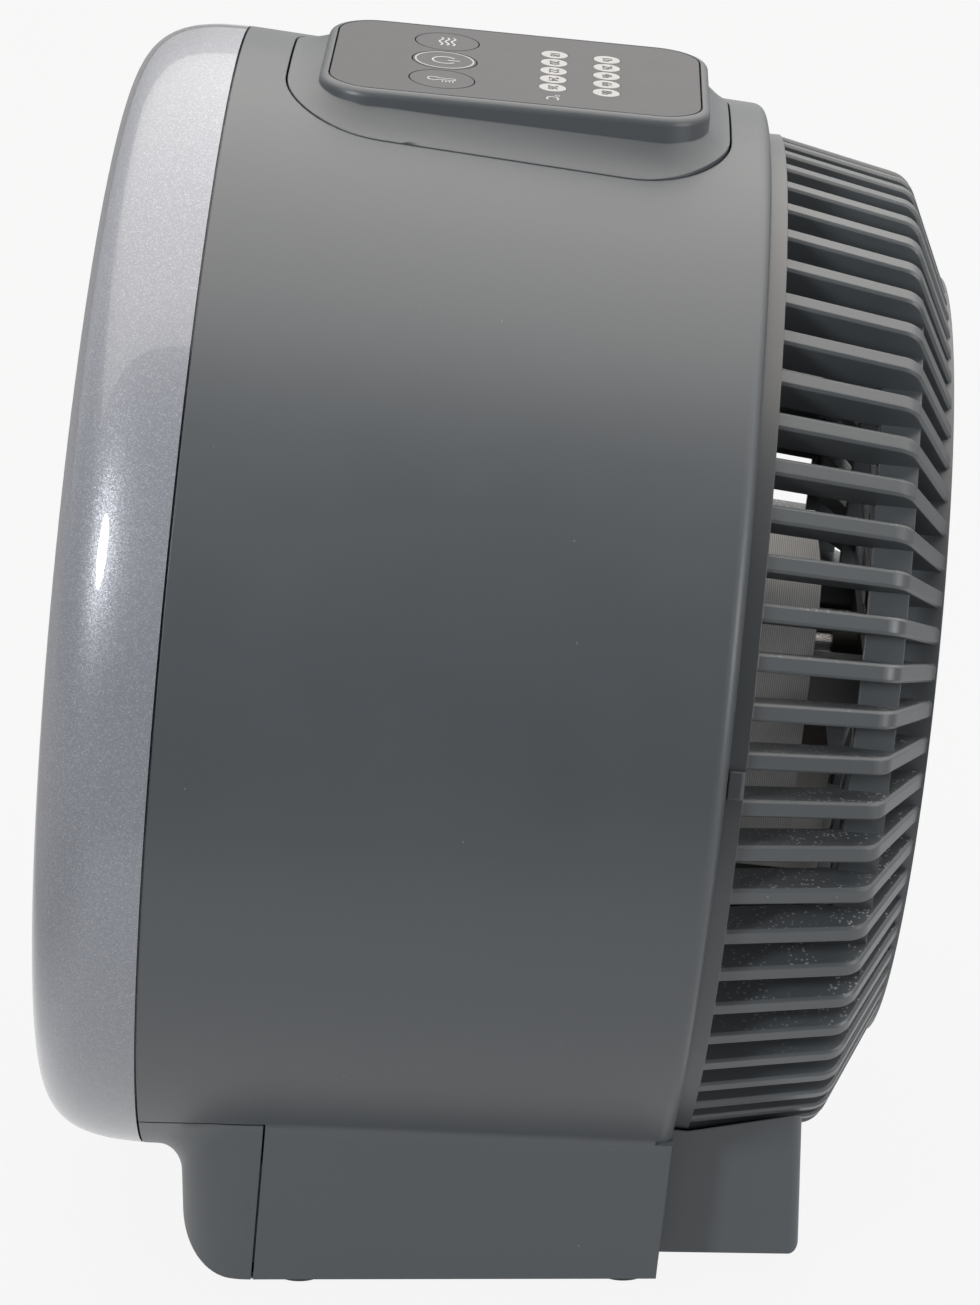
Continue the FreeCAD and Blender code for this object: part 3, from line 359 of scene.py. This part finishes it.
def sheet_stack():
    """The edge of a stack of thin steel sheets, with dark varnish between them."""
    finish = new_finish("lamination_stack")
    place = finish.place()
    sheet = finish.stripes(finish.along(place, DRUM_BACK), pitch=0.0005)
    stain = finish.noise(place, scale=140.0, detail=4.0, rough=0.6)
    metal = finish.mix(stain, grey(0.55), grey(0.84))
    return finish.surface(**{
        "Base Color": finish.mix(finish.ramp(sheet, low=0.0, high=0.3), grey(0.34), metal),
        "Metallic": 0.1,
        "Roughness": 0.5 + (stain - 0.5) * 0.3,
        "Normal": finish.bump(sheet, 0.00004, strength=0.5),
    })


def wound_copper():
    """Enamelled copper wire laid side by side."""
    finish = new_finish("wound_copper")
    place = finish.place()
    turns = finish.stripes(finish.along(place, ACROSS), pitch=0.00045)
    layer = finish.noise(place, scale=220.0, detail=3.0)
    shade = turns * 0.6 + layer * 0.4
    return finish.surface(**{
        "Base Color": finish.mix(shade, (0.02, 0.014, 0.012, 1), (0.075, 0.052, 0.042, 1)),
        "Metallic": 0.5,
        "Roughness": 0.32 + layer * 0.15,
        "Normal": finish.bump(turns, 0.0001, strength=0.8),
    })


def circuit_board():
    """Green board with copper tracks under the mask and pale pads."""
    finish = new_finish("circuit_board")
    place = finish.place()
    wander = finish.noise(place, scale=90.0) * 0.006
    track = finish.stripes(finish.along(place, (1, 0.35, 0)) + wander, pitch=0.0032)
    over_track = finish.ramp(track, low=0.55, high=0.62)
    mask = finish.mix(over_track, (0.012, 0.1, 0.045, 1), (0.025, 0.17, 0.07, 1))
    pads = finish.cells(place, scale=260.0)
    return finish.surface(**{
        "Base Color": finish.mix((pads < 0.2) * 0.8, mask, (0.55, 0.5, 0.4, 1)),
        "Roughness": 0.3 + pads * 0.2,
        "Normal": finish.bump(track, 0.00003, strength=0.5),
    })


body_plastic = moulded_plastic("body_plastic", BODY_GREY, rough=0.43, grain=0.00003)
cage_plastic = moulded_plastic("cage_plastic", CAGE_GREY, rough=0.4, grain=0.00002, dust=0.85)
outlet_plastic = moulded_plastic("outlet_plastic", (0.03, 0.03, 0.032), rough=0.5, grain=0.00002)
fan_plastic = moulded_plastic("fan_plastic", (0.045, 0.045, 0.047), rough=0.45, grain=0.00002)
switch_plastic = moulded_plastic("switch_plastic", (0.022, 0.022, 0.023), rough=0.45, grain=0.00002)
white_nylon = moulded_plastic("white_nylon", (0.72, 0.71, 0.68), rough=0.5, grain=0.00002)
relay_case = moulded_plastic("relay_case", (0.03, 0.07, 0.26), rough=0.35, grain=0.00001)
led_resin = moulded_plastic("led_resin", (0.72, 0.68, 0.5), rough=0.25, grain=0.00001)
ring_paint = flake_paint()
panel_film = satin_film("panel_film", PANEL_GREY)
key_film = satin_film("key_film", KEY_GREY)
white_ink = printed_ink("white_ink", INK_WHITE)
dark_ink = printed_ink("dark_ink", INK_DARK)
light_window = milky_window()
foot_rubber = dull_rubber("foot_rubber")
bright_steel = sheet_metal("bright_steel", (0.62, 0.62, 0.63), rough=0.3, direction=DRUM_UP)
turned_brass = sheet_metal("turned_brass", (0.7, 0.52, 0.24), rough=0.3, direction=DRUM_BACK)
bearing_bronze = sheet_metal("bearing_bronze", (0.07, 0.066, 0.06), rough=0.5, direction=DRUM_BACK)
dark_steel = sheet_metal("dark_steel", (0.16, 0.16, 0.165), rough=0.42, direction=DRUM_UP)
cast_rotor = sheet_metal("cast_rotor", (0.5, 0.5, 0.51), rough=0.45, direction=DRUM_BACK)
fin_metal = sheet_metal("fin_metal", (0.72, 0.72, 0.73), rough=0.35, direction=DRUM_BACK)
lamination_stack = sheet_stack()
winding_copper = wound_copper()
board_green = circuit_board()

NODE_FINISH = {
    body_plastic: ["drum_shell", "base_front", "rear_foot", "base_plate", "control_pod"],
    ring_paint: ["front_ring"],
    outlet_plastic: ["front_grille", "fan_shroud"],
    cage_plastic: ["rear_grille"],
    foot_rubber: ["rubber_feet", "cord_gland"],
    panel_film: ["control_panel"],
    key_film: ["heat_key", "power_key", "thermostat_key"],
    light_window: ["indicator_lights"],
    board_green: ["control_board", "power_board"],
    switch_plastic: ["key_switches", "tilt_switch", "thermal_cutout"],
    led_resin: ["indicator_leds"],
    fan_plastic: ["fan_impeller"],
    turned_brass: ["impeller_nut"],
    bright_steel: ["motor_shaft", "motor_bolts", "heater_baffle", "thermal_fuse"],
    dark_steel: ["motor_front_bracket", "motor_rear_bracket"],
    cast_rotor: ["motor_rotor"],
    lamination_stack: ["motor_stator"],
    white_nylon: ["coil_bobbin", "heater_holders", "terminal_block"],
    winding_copper: ["coil_winding"],
    bearing_bronze: ["motor_bearings"],
    fin_metal: ["heater_fins", "ptc_bars"],
    relay_case: ["power_relays"],
}
for material, names in NODE_FINISH.items():
    for name in names:
        nodes[name].data.materials.clear()
        nodes[name].data.materials.append(material)


# Printed signs on the panel and the keys, in millimetres

PRINT_LIFT = 0.01
PRINT_THICKNESS = 0.05
FINE_LINE = 0.32
SIGN_LINE = 0.42
FIGURE_SIZE = 3.3
DEGREE_SIZE = 4.2
DEGREE_PLACE = 3.15 * LIGHT_PITCH
WELD = 1e-7


def add_piece(name, shape, material, body):
    """Turns a shape into a piece of the heater that rides on a body."""
    bmesh.ops.recalc_face_normals(shape, faces=shape.faces)
    mesh = bpy.data.meshes.new(name)
    shape.to_mesh(mesh)
    shape.free()
    mesh.materials.append(material)
    piece = bpy.data.objects.new(name, mesh)
    scene.collection.objects.link(piece)
    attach(piece, body)


def join_rows(shape, rows, closed=False):
    """Skins rows of corners, one after the other, into a bar or a closed ring."""
    following = rows[1:] + rows[:1] if closed else rows[1:]
    for row, after in zip(rows, following):
        for corner in range(len(row)):
            turn = (corner + 1) % len(row)
            shape.faces.new((row[corner], row[turn], after[turn], after[corner]))
    if not closed:
        shape.faces.new(rows[0])
        shape.faces.new(rows[-1])


def print_line(shape, points, width, closed=False):
    """Adds a printed line of even width through (x, depth) places on the panel."""
    low = PANEL_HEIGHT + PRINT_LIFT
    high = low + PRINT_THICKNESS
    last = len(points) - 1
    rows = []
    for index, (x, depth) in enumerate(points):
        before = points[index - 1] if index or closed else points[index]
        after = points[(index + 1) % len(points)] if index < last or closed else points[index]
        run = Vector(after) - Vector(before)
        side = Vector((-run.y, run.x)).normalized() * width / 2
        rows.append([
            shape.verts.new(drum_point(x + hand * side.x, depth + hand * side.y, height))
            for hand, height in ((-1, low), (1, low), (1, high), (-1, high))
        ])
    join_rows(shape, rows, closed)


def print_arc(x, depth, radius, start, end, steps):
    """Places along an arc on the panel: angles in degrees from the right towards the back."""
    angles = [math.radians(start + (end - start) * step / steps) for step in range(steps + 1)]
    return [(x + radius * math.cos(angle), depth + radius * math.sin(angle)) for angle in angles]


def print_figures(shape, figures, x, depth, size):
    """Adds figures in the built-in typeface, centred on a place of the panel and read from the front."""
    curve = bpy.data.curves.new("figures", "FONT")
    curve.body = figures
    curve.size = size
    curve.align_x = "CENTER"
    curve.align_y = "CENTER"
    curve.extrude = PRINT_THICKNESS / 2
    holder = bpy.data.objects.new("figures", curve)
    mesh = bpy.data.meshes.new_from_object(holder)
    lay = Matrix((ACROSS, DRUM_BACK, DRUM_UP)).transposed().to_4x4()
    middle = drum_point(x, depth, PANEL_HEIGHT + PRINT_LIFT + PRINT_THICKNESS / 2)
    mesh.transform(Matrix.Translation(middle) @ lay @ Matrix.Scale(MM, 4))
    shape.from_mesh(mesh)
    bpy.data.objects.remove(holder)
    bpy.data.curves.remove(curve)
    bpy.data.meshes.remove(mesh)
    bmesh.ops.remove_doubles(shape, verts=shape.verts, dist=WELD)


def power_sign():
    """A ring round the key's edge, with a broken circle and a stroke in it."""
    edge_radius, circle_radius = 6.65, 2.75
    stroke_start, stroke_end = 0.7, 3.5
    shape = bmesh.new()
    edge = print_arc(0, KEY_LINE, edge_radius, start=0, end=360, steps=72)
    print_line(shape, edge[:-1], FINE_LINE, closed=True)
    print_line(shape, print_arc(0, KEY_LINE, circle_radius, start=128, end=412, steps=40), SIGN_LINE)
    print_line(shape, [(0, KEY_LINE + stroke_start), (0, KEY_LINE + stroke_end)], SIGN_LINE)
    add_piece("power_sign", shape, white_ink, "power_key")


def heat_sign():
    """Three wavy lines, one behind the other."""
    length, swing, pitch, steps = 6.5, 0.42, 1.42, 24
    half_waves = 3
    shape = bmesh.new()
    for row in (-1, 0, 1):
        points = []
        for step in range(steps + 1):
            share = step / steps
            wave = swing * math.sin(share * half_waves * math.pi)
            points.append((-KEY_PITCH + (share - 0.5) * length, KEY_LINE + row * pitch + wave))
        print_line(shape, points, SIGN_LINE)
    add_piece("heat_sign", shape, white_ink, "heat_key")


def thermostat_sign():
    """A thermometer with a bulb and four scale marks."""
    bulb, tube = 1.3, 0.66
    bulb_line, tube_line = KEY_LINE - 1.9, KEY_LINE + 2.4
    neck = math.degrees(math.asin(tube / bulb))
    shape = bmesh.new()
    outline = print_arc(KEY_PITCH, bulb_line, bulb, start=90 + neck, end=450 - neck, steps=32)
    outline += print_arc(KEY_PITCH, tube_line, tube, start=0, end=180, steps=12)
    print_line(shape, outline, FINE_LINE, closed=True)
    mark_start, mark_end = KEY_PITCH + 1.3, KEY_PITCH + 2.3
    mark_count, mark_pitch, first_mark = 4, 0.8, KEY_LINE + 0.2
    for mark in range(mark_count):
        line = first_mark + mark * mark_pitch
        print_line(shape, [(mark_start, line), (mark_end, line)], FINE_LINE)
    add_piece("thermostat_sign", shape, white_ink, "thermostat_key")


def light_figures(name, line, figures):
    """Figures on a row of light windows."""
    shape = bmesh.new()
    middle = (len(figures) - 1) / 2
    for step, figure in enumerate(figures):
        print_figures(shape, figure, (step - middle) * LIGHT_PITCH, line, FIGURE_SIZE)
    add_piece(name, shape, dark_ink, "housing")


def degree_sign():
    """The degree sign at the end of the row of temperatures."""
    shape = bmesh.new()
    print_figures(shape, "\u00b0C", DEGREE_PLACE, HEAT_LIGHT_LINE, DEGREE_SIZE)
    add_piece("degree_sign", shape, white_ink, "housing")


power_sign()
heat_sign()
thermostat_sign()
light_figures("temperature_figures", HEAT_LIGHT_LINE, ("18", "20", "22", "24", "26"))
light_figures("hour_figures", TIMER_LIGHT_LINE, ("1h", "2h", "4h", "6h", "8h"))
degree_sign()


# Small fittings, in millimetres

LATCH_ROUND = 0.15
SCREW_SIDES = (-55, 55)
SCREW_DEPTHS = (38, 98)
SCREW_STEPS = 32
SCREW_LOBES = 4
# Rings down the screw's head: radius, how deep the lobes cut in, and drop below the base plate
SCREW_RINGS = [
    (3.4, 0, 0.05), (3.5, 0, 0.7), (3.0, 0, 1.4), (2.1, 0, 1.75), (1.45, 0.42, 1.8), (1.1, 0.42, 0.8),
]


def cage_latch():
    """The snap hook that holds the cage's flange, in the gap between two ribs."""
    half_width, foot, top, slope = 3.2, 0.1, 1.1, 0.7
    angle = math.radians(360 / RIB_COUNT + RIB_TURN)
    outward = ACROSS * math.cos(angle) + DRUM_UP * math.sin(angle)
    sideways = DRUM_UP * math.cos(angle) - ACROSS * math.sin(angle)
    profile = [
        (CAGE_FLANGE_FRONT, foot), (CAGE_FLANGE_REAR, foot), (CAGE_FLANGE_REAR, top - slope),
        (CAGE_FLANGE_REAR - slope, top), (CAGE_FLANGE_FRONT, top),
    ]
    shape = bmesh.new()
    rows = []
    for side in (-half_width, half_width):
        row = []
        for depth, rise in profile:
            reach = DRUM_BACK * depth + outward * (CAGE_FLANGE_RADIUS + rise) + sideways * side
            row.append(shape.verts.new(SEAM_CENTRE + reach * MM))
        rows.append(row)
    join_rows(shape, rows)
    bmesh.ops.bevel(shape, geom=shape.edges[:], offset=LATCH_ROUND * MM, segments=2, affect="EDGES")
    add_piece("cage_latch", shape, cage_plastic, "housing")


def screw_ring(shape, x, depth, radius, lobes, drop):
    """One ring of corners round a screw's axis."""
    row = []
    for step in range(SCREW_STEPS):
        turn = 2 * math.pi * step / SCREW_STEPS
        reach = radius * (1 - lobes * (0.5 - 0.5 * math.cos(SCREW_LOBES * turn)))
        place = Vector((x + reach * math.cos(turn), depth + reach * math.sin(turn), BASE_UNDERSIDE - drop))
        row.append(shape.verts.new(place * MM + Vector((0, SEAM_CENTRE.y, 0))))
    return row


def base_screws():
    """Pan-head screws with a four-lobed recess, under the base plate."""
    shape = bmesh.new()
    for x in SCREW_SIDES:
        for depth in SCREW_DEPTHS:
            join_rows(shape, [screw_ring(shape, x, depth, *ring) for ring in SCREW_RINGS])
    add_piece("base_screws", shape, bright_steel, "housing")


def seam_shade_strips():
    """Dark strips in the front seam of the stand at its foot, one on each side: painted shade that closes the
    slit where light would show through.
    """
    front, rear = STAND_SEAM_DEPTHS
    low, high = STAND_SEAM_HEIGHTS
    corners = ((front, low), (rear, low), (rear, high), (front, high))
    shape = bmesh.new()
    for hand in (-1, 1):
        join_rows(shape, [
            [shape.verts.new(drum_point(hand * x, depth, height)) for depth, height in corners]
            for x in STAND_SEAM_SIDES
        ])
    add_piece("seam_shade_strips", shape, foot_rubber, "housing")


cage_latch()
base_screws()
seam_shade_strips()


# Studio, in metres

FLOOR_REACH = 6.0
FLOOR_WHITE = 0.9
FLOOR_GREY = 0.21
BOARD_GREYS = (0.22, 0.24)
BOARD_EDGE = 0.35
BOARD_EDGE_FADE = 0.035
BOARD_CENTRE = 0.105
BOARD_SIDE = 0.255
BOARD_SIDE_FADE = 0.1
ROOM_LIGHT = 0.05
ROOM_TINT = (0.93, 0.97, 1.04)
BACKDROP_LIGHT = 0.5
BACKDROP_WHITE = 0.92


def studio_board():
    """A board under the heater that ends in a dim floor. Both are white to the camera, but for a soft shadow.
    Gloss and metal show the board white too."""
    finish = new_finish("studio_board")
    place = finish.place()
    cloud = finish.noise(place, scale=3.0, detail=3.0)
    aside = finish.maths("ABSOLUTE", finish.along(place, (0, 1, 0)) - BOARD_CENTRE)
    past_edge = finish.ramp(finish.along(place, ACROSS), BOARD_EDGE, BOARD_EDGE + BOARD_EDGE_FADE)
    past_side = finish.ramp(aside, BOARD_SIDE, BOARD_SIDE + BOARD_SIDE_FADE)
    beyond = finish.maths("MAXIMUM", past_edge, past_side)
    board = finish.mix(cloud, *map(grey, BOARD_GREYS))
    tone = finish.mix(beyond, board, grey(FLOOR_GREY))
    painted = finish.node("ShaderNodeBsdfDiffuse", sockets={"Color": tone})
    white = finish.node("ShaderNodeEmission", sockets={"Color": grey(1.0), "Strength": 1.0})
    share = (finish.rays("Is Camera Ray") + finish.mirrored_rays() * (1.0 - beyond)) * FLOOR_WHITE
    shader = finish.node("ShaderNodeMixShader", sockets={0: share, 1: painted, 2: white})
    finish.node("ShaderNodeOutputMaterial", sockets={"Surface": shader})
    return finish.owner


def build_floor():
    corners = [(-1, -1), (1, -1), (1, 1), (-1, 1)]
    mesh = bpy.data.meshes.new("studio_floor")
    mesh.from_pydata([(x * FLOOR_REACH, y * FLOOR_REACH, 0) for x, y in corners], [], [(0, 1, 2, 3)])
    mesh.materials.append(studio_board())
    floor = bpy.data.objects.new("studio_floor", mesh)
    scene.collection.objects.link(floor)


def build_world():
    """A dim room with a pale backdrop behind the heater that goes round to its rear. All of it is white to the
    camera. Gloss and metal show the white behind the heater."""
    scene.world = bpy.data.worlds.new("studio_world")
    finish = Finish(scene.world)
    direction = finish.node("ShaderNodeTexCoord", output="Generated")
    behind = finish.ramp(finish.along(direction, (-1, 0, 0)), low=0.15, high=0.5)
    rearward = finish.ramp(finish.along(direction, (0, 1, 0)), low=0.35, high=0.85)
    frontward = finish.ramp(finish.along(direction, (0, -1, 0)), low=-0.06, high=0.14)
    room = finish.mix(rearward, tint(ROOM_TINT, ROOM_LIGHT), grey(BACKDROP_LIGHT))
    tone = finish.mix(behind, room, grey(BACKDROP_LIGHT))
    lit = finish.node("ShaderNodeBackground", sockets={"Color": tone, "Strength": 1.0})
    white = finish.node("ShaderNodeBackground", sockets={"Color": grey(BACKDROP_WHITE), "Strength": 1.0})
    share = finish.rays("Is Camera Ray") + finish.mirrored_rays() * behind * (1.0 - frontward)
    shader = finish.node("ShaderNodeMixShader", sockets={0: share, 1: lit, 2: white})
    finish.node("ShaderNodeOutputWorld", sockets={"Surface": shader})


def area_lamp(name, shape, place, aim, width, length, power, colour=(1, 1, 1), spread=180):
    lamp = bpy.data.lights.new(name, "AREA")
    lamp.shape = shape
    lamp.size = width
    lamp.size_y = length
    lamp.energy = power
    lamp.color = colour
    lamp.spread = math.radians(spread)
    holder = bpy.data.objects.new(name, lamp)
    scene.collection.objects.link(holder)
    holder.location = place
    holder.rotation_euler = (Vector(aim) - Vector(place)).to_track_quat("-Z", "Y").to_euler()


build_floor()
build_world()
area_lamp(
    "overhead_softbox", "RECTANGLE", place=(-1.135, 0.35, 1.4), aim=(-1.135, 0.35, 0),
    width=3.33, length=4.1, power=74.0, colour=(1.0, 0.935, 0.87), spread=153,
)
area_lamp(
    "front_lamp", "ELLIPSE", place=(0.94, -0.8, 0.7), aim=(0.12, -0.085, 0.19),
    width=0.22, length=0.3, power=8.8,
)
area_lamp(
    "rear_softbox", "RECTANGLE", place=(0.75, 1.3, 0.35), aim=(0, 0.1, 0.14),
    width=0.5, length=0.6, power=6.0,
)


# Camera

CAMERA_ELEVATION = math.radians(22.87)
CAMERA_AZIMUTH = math.radians(91.723)
CAMERA_DISTANCE = 1.080667
CAMERA_TARGET = Vector((0, -0.000888, 0.123839))
FOCAL_PIXELS = 4468.448
PHOTO_HEIGHT = 1305.0
SENSOR_HEIGHT = 36.0
NEAR_LIMIT = 0.01


def build_camera():
    data = bpy.data.cameras.new("photo_camera")
    data.sensor_fit = "VERTICAL"
    data.sensor_height = SENSOR_HEIGHT
    data.lens = FOCAL_PIXELS * SENSOR_HEIGHT / PHOTO_HEIGHT
    data.clip_start = NEAR_LIMIT
    camera = bpy.data.objects.new("photo_camera", data)
    scene.collection.objects.link(camera)
    level = math.cos(CAMERA_ELEVATION)
    away = Vector((
        math.sin(CAMERA_AZIMUTH) * level, -math.cos(CAMERA_AZIMUTH) * level, math.sin(CAMERA_ELEVATION),
    ))
    camera.location = CAMERA_TARGET + away * CAMERA_DISTANCE
    camera.rotation_euler = away.to_track_quat("Z", "Y").to_euler()
    scene.camera = camera


build_camera()
